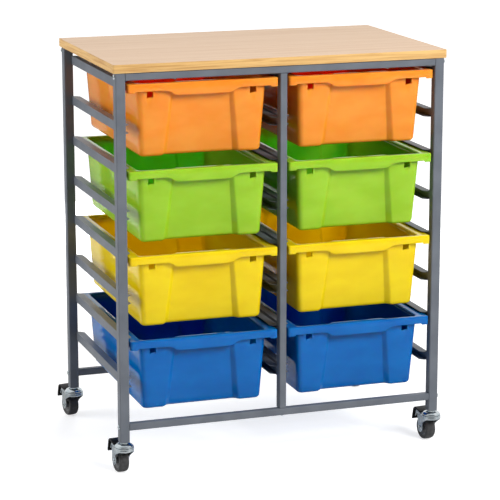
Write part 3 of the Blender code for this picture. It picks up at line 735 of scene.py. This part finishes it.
def newScrew(name, size, length):
    # its head points up and is seated at z = 0
    headRadius, headHeight, shankRadius, socketRadius, socketDepth = [
        value * mm for value in screwSizes[size]]
    rim = screwSizes["domeRim"]
    turns = [math.radians(turn) for turn in screwSizes["domeTurns"]]
    dome = [(headRadius * math.cos(turn), headHeight * (rim + (1 - rim) * math.sin(turn)))
            for turn in turns]
    dome[0] = (0, headHeight)
    shank = [(headRadius, 0), (shankRadius, 0), (shankRadius, -length), (0, -length)]
    screw = newSpun(name, dome + shank, screwSizes["steps"])
    cutWith(screw, newRod("socket", (0, 0, headHeight), socketRadius, 2 * socketDepth, sides=6))
    return softenEdges(screw, screwSizes["edgeRound"], 2, screwSizes["edgeAngle"])


frameBolt = None
for level in ("bottom", "top"):
    for end in ends:
        for side, sign in sides.items():
            node = f"frame_bolt_{level}_{end}_{side}"
            low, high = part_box(node)
            middle = (low + high) / 2
            headHeight = screwSizes["M6"][1] * mm
            if frameBolt is None:
                frameBolt = newScrew("frameBolt", "M6", high.x - low.x - headHeight)
            seat = high.x - headHeight if sign > 0 else low.x + headHeight
            outward = Matrix.Rotation(sign * math.pi / 2, 4, "Y")
            place = Matrix.Translation((seat, middle.y, middle.z)) @ outward
            bolt = copied(frameBolt, f"buttonBolt_{level}_{end}_{side}", place)
            finish(bolt, "frame", "zinc", brightZinc, node)
bpy.data.objects.remove(frameBolt, do_unlink=True)

flipped = Matrix.Rotation(math.pi, 4, "X")
for end in ends:
    node = f"centre_post_screw_{end}"
    low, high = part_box(node)
    middle = (low + high) / 2
    headHeight = screwSizes["M4"][1] * mm
    screw = newScrew(f"buttonScrew_{end}", "M4", high.z - low.z - headHeight)
    moved(screw, Matrix.Translation((middle.x, middle.y, low.z + headHeight)) @ flipped)
    finish(screw, "frame", "zinc", brightZinc, node)
    low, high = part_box(f"rail_top_{end}")
    middle = (low + high) / 2
    for side, sign in sides.items():
        screw = newScrew(f"boardScrew_{end}_{side}", "M4", screwSizes["boardScrewLength"])
        reach = sign * worktopSizes["screwReach"]
        seat = Matrix.Translation((middle.x + reach, middle.y, low.z - screwSizes["seatGap"]))
        finish(moved(screw, seat @ flipped), "frame", "zinc", brightZinc)
print("screws made")


# ---- castors: one of each piece, about its swivel with the wheel trailing to +Y, in mm

castorSizes = {
    "swings": {"front_left": 5, "front_right": 5, "rear_left": 9, "rear_right": 7},
    "axle": (0, 21, 24.786),
    # profiles of radius and height, from the top down
    "stem": ((0, 90.9), (4.2, 90.9), (4.9, 90.2), (4.9, 68.686), (8.2, 68.686), (8.6, 68.3),
             (8.6, 66.186), (11.3, 65.99), (13.8, 65.4), (15.9, 64.4), (17.4, 63.2), (18.2, 62.1),
             (18.5, 61.5), (19.2, 61.2), (19.4, 60.8), (19.4, 59.4), (19.2, 58.986),
             (17.4, 58.986), (17.4, 60.586), (10, 60.586), (10, 58.986), (4, 58.986),
             (4, 56.086), (6.5, 56.086), (6.5, 54.2), (6, 53.7), (0, 53.7)),
    "crown": ((4.3, 58.586), (19.2, 58.586), (19.85, 58.35), (20.27, 57.75), (20.4, 57.1),
              (20.27, 56.4), (19.85, 55.8), (19.6, 55.3), (19.85, 54.8), (20.27, 54.2),
              (20.4, 53.5), (20.3, 52.6), (20.15, 51.9), (20.05, 50.986), (18.3, 50.986),
              (18.3, 56.386), (4.3, 56.386)),
    # profiles of radius and half width, turned onto the axle
    "tyre": ((24.78, 0), (24.74, 3.4), (24.6, 6), (24.25, 7.9), (23.6, 9.3), (22.7, 10.2),
             (21.7, 10.5), (19.6, 10.35), (17.8, 10), (16.9, 9.4), (16.85, 0)),
    "hub": ((3.4, 11.9), (6.2, 11.9), (6.5, 11.6), (6.7, 7.2), (7.6, 6.4), (13.2, 5.9),
            (14.6, 6.6), (15.2, 8.9), (15.7, 9.2), (16.4, 9.2), (16.5, 0), (3.4, 0)),
    "axlePin": ((1.5, 0), (1.5, 15.8), (1.9, 16.3), (2.8, 16.4), (3.9, 15.9), (4.5, 15.2),
                (4.6, 14.8), (3.1, 14.8), (3.1, 0)),
    "ring": {"balls": 24, "radius": 13.7, "ball": 0.7, "ballAngle": 60, "height": 59.586,
             "cage": (13.1, 14.3, 0.2)},
    "steps": 64,
}
legSizes = {
    "endRadius": 9.5,
    # how far the edges stand back, height by height
    "front": ((24.79, 11.5), (30.5, 10.2), (35.5, 7.9), (39.9, 4.2), (43.6, -0.5), (46.6, -5.2),
              (49, -9.5), (50.7, -12.5), (51.7, -14), (58, -14)),
    "back": ((24.79, 30.5), (48.99, 33), (55.49, 29), (57.49, 10), (58, 6)),
    "rows": (15.32, 15.6, 16.2, 17.2, 18.6, 20.4, 22.4, 24.8, 27, 29, 31, 33, 35, 37, 39, 41,
             43, 45, 46.6, 48, 49, 50, 50.7, 51.3, 51.7, 53, 54.3, 55.5, 56.2, 56.8, 57.3),
    "columns": 14,
    "thickness": 2,
    "straight": 13.5,
    "round": 19.4,
    "flareFrom": 26,
    "flareRise": 24,
    "hole": (3.3, 60),
    "edgeRound": 0.5,
    "edgeAngle": 40,
}
brakeSizes = {
    "front": 21.5,
    "bottom": 35.486,
    "length": 36.5,
    "height": 29.3,
    # side views as shares of the length and the height
    "pedal": ((0, 0.843), (0.616, 1), (0.70, 0.985), (0.767, 0.94), (0.82, 0.86),
              (0.863, 0.768), (1, 0.102), (0.978, 0), (0.896, 0), (0.764, 0.706),
              (0.699, 0.836), (0.611, 0.884), (0.008, 0.744)),
    "lever": ((0.019, 0.54), (0.019, 0.69), (0.068, 0.737), (0.603, 0.863), (0.688, 0.816),
              (0.742, 0.686), (0.81, 0.29), (0.74, 0.256), (0.6, 0.56), (0.45, 0.52),
              (0.2, 0.512)),
    "hollow": ((-0.1, 0.1), (-0.1, 0.62), (0.6, 0.808), (0.66, 0.776), (0.704, 0.672), (0.8, 0.1)),
    "pedalHalf": 15,
    "leverHalf": 11.9,
    "hollowHalf": 10.4,
    "pedalRound": 0.9,
    "leverRound": 0.35,
    "leverAngle": 45,
    # rounds of the plate before it is hollowed, of the hollow, the shoe and the pin's heads
    "plateRound": 0.6,
    "hollowRound": 0.3,
    "shoeRound": 0.4,
    "headRound": 0.3,
    "pin": (25.5, 52.386, 1.5, 29.6),
    "pinHead": (2.4, 0.8),
    "ridges": ((0.90, 0.59), (0.935, 0.42), (0.97, 0.25)),
    "ridgeRadius": 0.6,
    "ridgeInset": 3,
    "shoe": {"place": (36.72, 47.74), "lean": -23, "width": 21.4, "side": 4},
}


def turnedPiece(name, profile):
    scaled = [(radius * mm, height * mm) for radius, height in profile]
    return newSpun(name, scaled, castorSizes["steps"])


def wheelPiece(name, profile):
    # a half profile mirrored across the wheel's middle, its axis laid along X through the axle
    whole = list(profile) + [(radius, -width) for radius, width in reversed(profile) if width]
    item = turnedPiece(name, whole)
    x, y, z = [value * mm for value in castorSizes["axle"]]
    return moved(item, Matrix.Translation((x, y, z)) @ Matrix.Rotation(math.pi / 2, 4, "Y"))


def edgeAt(points, height):
    # the edge's y at a height, along straight lines between the points
    for (low, start), (high, stop) in zip(points, points[1:]):
        if height <= high:
            return start + (stop - start) * (height - low) / (high - low)
    return points[-1][1]


def legRing(side, height):
    # one level of a leg: its outer face front to back, then its inner face back to front
    axleY, axleZ = castorSizes["axle"][1:]
    if height < axleZ:
        half = math.sqrt(legSizes["endRadius"] ** 2 - (axleZ - height) ** 2)
        front, back = axleY - half, axleY + half
    else:
        front, back = edgeAt(legSizes["front"], height), edgeAt(legSizes["back"], height)
    straight = legSizes["straight"]
    share = smoothStep((height - legSizes["flareFrom"]) / legSizes["flareRise"])
    outer, inner = [], []
    for step in range(legSizes["columns"] + 1):
        y = front + (back - front) * step / legSizes["columns"]
        crownReach = math.sqrt(max(legSizes["round"] ** 2 - y ** 2, 0))
        x = straight + max(crownReach - straight, 0) * share
        outer.append(Vector((side * (x + legSizes["thickness"] / 2), y, height)) * mm)
        inner.append(Vector((side * (x - legSizes["thickness"] / 2), y, height)) * mm)
    return outer + inner[::-1]


def sideView(shares):
    return [((brakeSizes["front"] + y * brakeSizes["length"]) * mm,
             (brakeSizes["bottom"] + z * brakeSizes["height"]) * mm) for y, z in shares]


def crossRod(name, y, z, radius, length, x=0.0, sides=24):
    centre, turn = (x * mm, y * mm, z * mm), (0, math.pi / 2, 0)
    return newRod(name, centre, radius * mm, length * mm, turn, sides)


def newFork():
    pieces = [turnedPiece("fork", castorSizes["crown"])]
    for side in (-1, 1):
        rings = [legRing(side, height) for height in legSizes["rows"]]
        leg = mergeMesh(newLoft("leg", rings, capped=True))
        cutWith(leg, crossRod("axleHole", *castorSizes["axle"][1:], *legSizes["hole"]))
        pieces.append(softenEdges(leg, legSizes["edgeRound"] * mm, 3, legSizes["edgeAngle"]))
    return joinedPieces(pieces, "castorFork")


def newBallRing():
    ring = castorSizes["ring"]
    inner, outer, half = ring["cage"]
    height = ring["height"]
    pieces = [turnedPiece("cage", ((inner, height + half), (outer, height + half),
                                   (outer, height - half), (inner, height - half)))]
    for index in range(ring["balls"]):
        turn = 2 * math.pi * index / ring["balls"]
        x, y = ring["radius"] * math.cos(turn), ring["radius"] * math.sin(turn)
        bpy.ops.object.select_all(action="DESELECT")
        bpy.ops.mesh.primitive_ico_sphere_add(
            subdivisions=2, radius=ring["ball"] * mm, location=Vector((x, y, height)) * mm)
        bpy.ops.object.transform_apply(location=True, rotation=True, scale=True)
        pieces.append(smoothByAngle(bpy.context.object, ring["ballAngle"]))
    return joinedPieces(pieces, "castorBallRing")


def newLever():
    # folded steel with the shoe welded inside and the cross pin through both
    lever = newPlate("lever", sideView(brakeSizes["lever"]), brakeSizes["leverHalf"] * mm,
                     brakeSizes["plateRound"] * mm)
    hollow = newPlate("hollow", sideView(brakeSizes["hollow"]), brakeSizes["hollowHalf"] * mm,
                      brakeSizes["hollowRound"] * mm)
    cutWith(lever, hollow)
    softenEdges(lever, brakeSizes["leverRound"] * mm, 2, brakeSizes["leverAngle"])
    shoe = brakeSizes["shoe"]
    block = newBox("shoe", (0, 0, shoe["side"] * mm / 2),
                   (shoe["width"] * mm, shoe["side"] * mm, shoe["side"] * mm))
    y, z = shoe["place"]
    lean = Matrix.Rotation(math.radians(shoe["lean"]), 4, "X")
    moved(block, Matrix.Translation((0, y * mm, z * mm)) @ lean)
    softenEdges(block, brakeSizes["shoeRound"] * mm)
    y, z, radius, length = brakeSizes["pin"]
    pieces = [lever, block, crossRod("pin", y, z, radius, length)]
    headRadius, headHeight = brakeSizes["pinHead"]
    for side in (-1, 1):
        head = crossRod("pinHead", y, z, headRadius, headHeight, side * (length - headHeight) / 2)
        pieces.append(softenEdges(head, brakeSizes["headRound"] * mm))
    return joinedPieces(pieces, "brakeLever")


def newPedal():
    # a moulded cap over the lever, with three low ridges under the toe
    pedal = newPlate("pedal", sideView(brakeSizes["pedal"]), brakeSizes["pedalHalf"] * mm,
                     brakeSizes["pedalRound"] * mm)
    width = 2 * (brakeSizes["pedalHalf"] - brakeSizes["ridgeInset"])
    ridges = [crossRod("ridge", y / mm, z / mm, brakeSizes["ridgeRadius"], width, sides=12)
              for y, z in sideView(brakeSizes["ridges"])]
    return joinedPieces([pedal] + ridges, "brakePedal")


castorParts = (
    # piece, its body, slot, finish and the CAD node that it replaces
    (turnedPiece("castorStem", castorSizes["stem"]), "frame", "zinc", brightZinc, "castor_stem"),
    (newBallRing(), "frame", "zinc", brightZinc, "castor_ball_ring"),
    (newFork(), "fork", "zinc", brightZinc, "castor_fork"),
    (wheelPiece("castorAxle", castorSizes["axlePin"]), "fork", "zinc", brightZinc, "castor_axle"),
    (wheelPiece("castorTyre", castorSizes["tyre"]), "wheel", "tyre", treadRubber, "castor_tyre"),
    (wheelPiece("castorHub", castorSizes["hub"]), "wheel", "hub", hubNylon, "castor_hub"),
    (newLever(), "brake", "zinc", brightZinc, "brake_lever"),
    (newPedal(), "brake", "pedal", pedalNylon, "brake_pedal"),
)
for corner, swing in castorSizes["swings"].items():
    low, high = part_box(f"castor_stem_{corner}")
    middle = (low + high) / 2
    turned = Matrix.Rotation(math.radians(swing), 4, "Z")
    place = Matrix.Translation((middle.x, middle.y, 0)) @ turned
    for piece, body, slot, coat, node in castorParts:
        owner = body if body == "frame" else f"{body}_{corner}"
        twin = copied(piece, f"{piece.name}_{corner}", place)
        finish(twin, owner, slot, coat, f"{node}_{corner}")
for row in castorParts:
    bpy.data.objects.remove(row[0], do_unlink=True)
print("castors made")


# ---- camera, lights and floor

cameraSettings = {
    "place": (-1.433206, -4.229336, 1.42281),
    "turn": (math.pi / 2 - 0.2269, 0, -0.3298),
    "lens": 154.56,
    "sensor": 36,
    "reach": 60,
}
lampSettings = (
    # name, place, aim, size, watts
    ("softboxLeft", (-3.0, 0.8, 1.2), (0, 0, 0.45), 1.6, 64),
    ("softboxFrontRight", (1.35, -3.2, 2.6), (0, 0, 0.45), 1.6, 172),
    ("softboxBack", (0.5, 2.4, 0.42), (0, 0, 0.42), 0.8, 50),
)

lens = bpy.data.cameras.new("camera")
lens.lens = cameraSettings["lens"]
lens.sensor_width = cameraSettings["sensor"]
lens.clip_end = cameraSettings["reach"]
camera = bpy.data.objects.new("camera", lens)
camera.location = cameraSettings["place"]
camera.rotation_euler = cameraSettings["turn"]
bpy.context.scene.collection.objects.link(camera)
bpy.context.scene.camera = camera
bpy.context.scene.view_settings.view_transform = "Standard"

for name, place, aim, size, watts in lampSettings:
    light = bpy.data.lights.new(name, "AREA")
    light.shape = "SQUARE"
    light.size = size
    light.energy = watts
    lamp = bpy.data.objects.new(name, light)
    lamp.visible_camera = False
    lamp.visible_glossy = False
    lamp.location = place
    lamp.rotation_euler = (Vector(aim) - Vector(place)).to_track_quat("-Z", "Y").to_euler()
    bpy.context.scene.collection.objects.link(lamp)

# the world is white to the camera and in reflections, softer as a light, and dark on the camera's
# side of the room, which gives the zinc its contrast and the trays' recesses their shade
worldSettings = {
    "light": 0.45,
    "darkSide": (-0.32, -0.95, 0),
    "darkFrom": 0.25,
    "darkTo": 0.75,
    "dark": 0.8,
}

world = bpy.data.worlds.new("studio")
world.use_nodes = True
bpy.context.scene.world = world
tree = world.node_tree
background = tree.nodes["Background"]
path = addNode(tree, "ShaderNodeLightPath")
direct = addNode(tree, "ShaderNodeMath", operation="MAXIMUM",
                 links={0: path.outputs["Is Camera Ray"], 1: path.outputs["Is Transmission Ray"]})
seen = addNode(tree, "ShaderNodeMath", operation="MAXIMUM",
               links={0: direct.outputs["Value"], 1: path.outputs["Is Glossy Ray"]})
level = addNode(tree, "ShaderNodeMapRange", {"To Min": worldSettings["light"], "To Max": 1.0},
                {"Value": seen.outputs["Value"]})
direction = addNode(tree, "ShaderNodeTexCoord").outputs["Generated"]
towards = addNode(tree, "ShaderNodeVectorMath", {1: worldSettings["darkSide"]}, {0: direction},
                  operation="DOT_PRODUCT")
share = addNode(tree, "ShaderNodeMapRange",
                {"From Min": worldSettings["darkFrom"], "From Max": worldSettings["darkTo"],
                 "To Max": worldSettings["dark"]}, {"Value": towards.outputs["Value"]})
indirect = addNode(tree, "ShaderNodeMath", {0: 1.0}, {1: direct.outputs["Value"]},
                   operation="SUBTRACT")
loss = addNode(tree, "ShaderNodeMath", operation="MULTIPLY",
               links={0: share.outputs["Result"], 1: indirect.outputs["Value"]})
kept = addNode(tree, "ShaderNodeMath", {0: 1.0}, {1: loss.outputs["Value"]}, operation="SUBTRACT")
strength = addNode(tree, "ShaderNodeMath", operation="MULTIPLY",
                   links={0: level.outputs["Result"], 1: kept.outputs["Value"]})
tree.links.new(strength.outputs["Value"], background.inputs["Strength"])
background.inputs["Color"].default_value = (1, 1, 1, 1)

# matt white floor that keeps the trolley's shadow and is lifted to white for the camera, more so
# further out
floorSettings = {
    "size": 30,
    "height": -0.0005,
    "tone": "#CFCFCF",
    "roughness": 0.9,
    "near": {"distance": 0.8, "lift": 0.62},
    "far": {"distance": 3.0, "lift": 0.85},
}

floorPaper = bpy.data.materials.new("whitePaperFloor")
floorPaper.use_nodes = True
tree = floorPaper.node_tree
shader = tree.nodes["Principled BSDF"]
shader.inputs["Base Color"].default_value = linearColour(floorSettings["tone"])
shader.inputs["Roughness"].default_value = floorSettings["roughness"]
shader.inputs["Emission Color"].default_value = (1, 1, 1, 1)
path = addNode(tree, "ShaderNodeLightPath")
place = addNode(tree, "ShaderNodeTexCoord").outputs["Object"]
distance = addNode(tree, "ShaderNodeVectorMath", links={0: place}, operation="LENGTH")
near, far = floorSettings["near"], floorSettings["far"]
lift = addNode(tree, "ShaderNodeMapRange",
               {"From Min": near["distance"], "From Max": far["distance"],
                "To Min": near["lift"], "To Max": far["lift"]},
               {"Value": distance.outputs["Value"]})
shown = addNode(tree, "ShaderNodeMath", operation="MULTIPLY",
                links={0: lift.outputs["Result"], 1: path.outputs["Is Camera Ray"]})
tree.links.new(shown.outputs["Value"], shader.inputs["Emission Strength"])
bpy.ops.object.select_all(action="DESELECT")
bpy.ops.mesh.primitive_plane_add(
    size=floorSettings["size"], location=(0, 0, floorSettings["height"]))
floor = bpy.context.object
floor.name = "paperFloor"
floor.data.materials.append(floorPaper)
print("studio set")
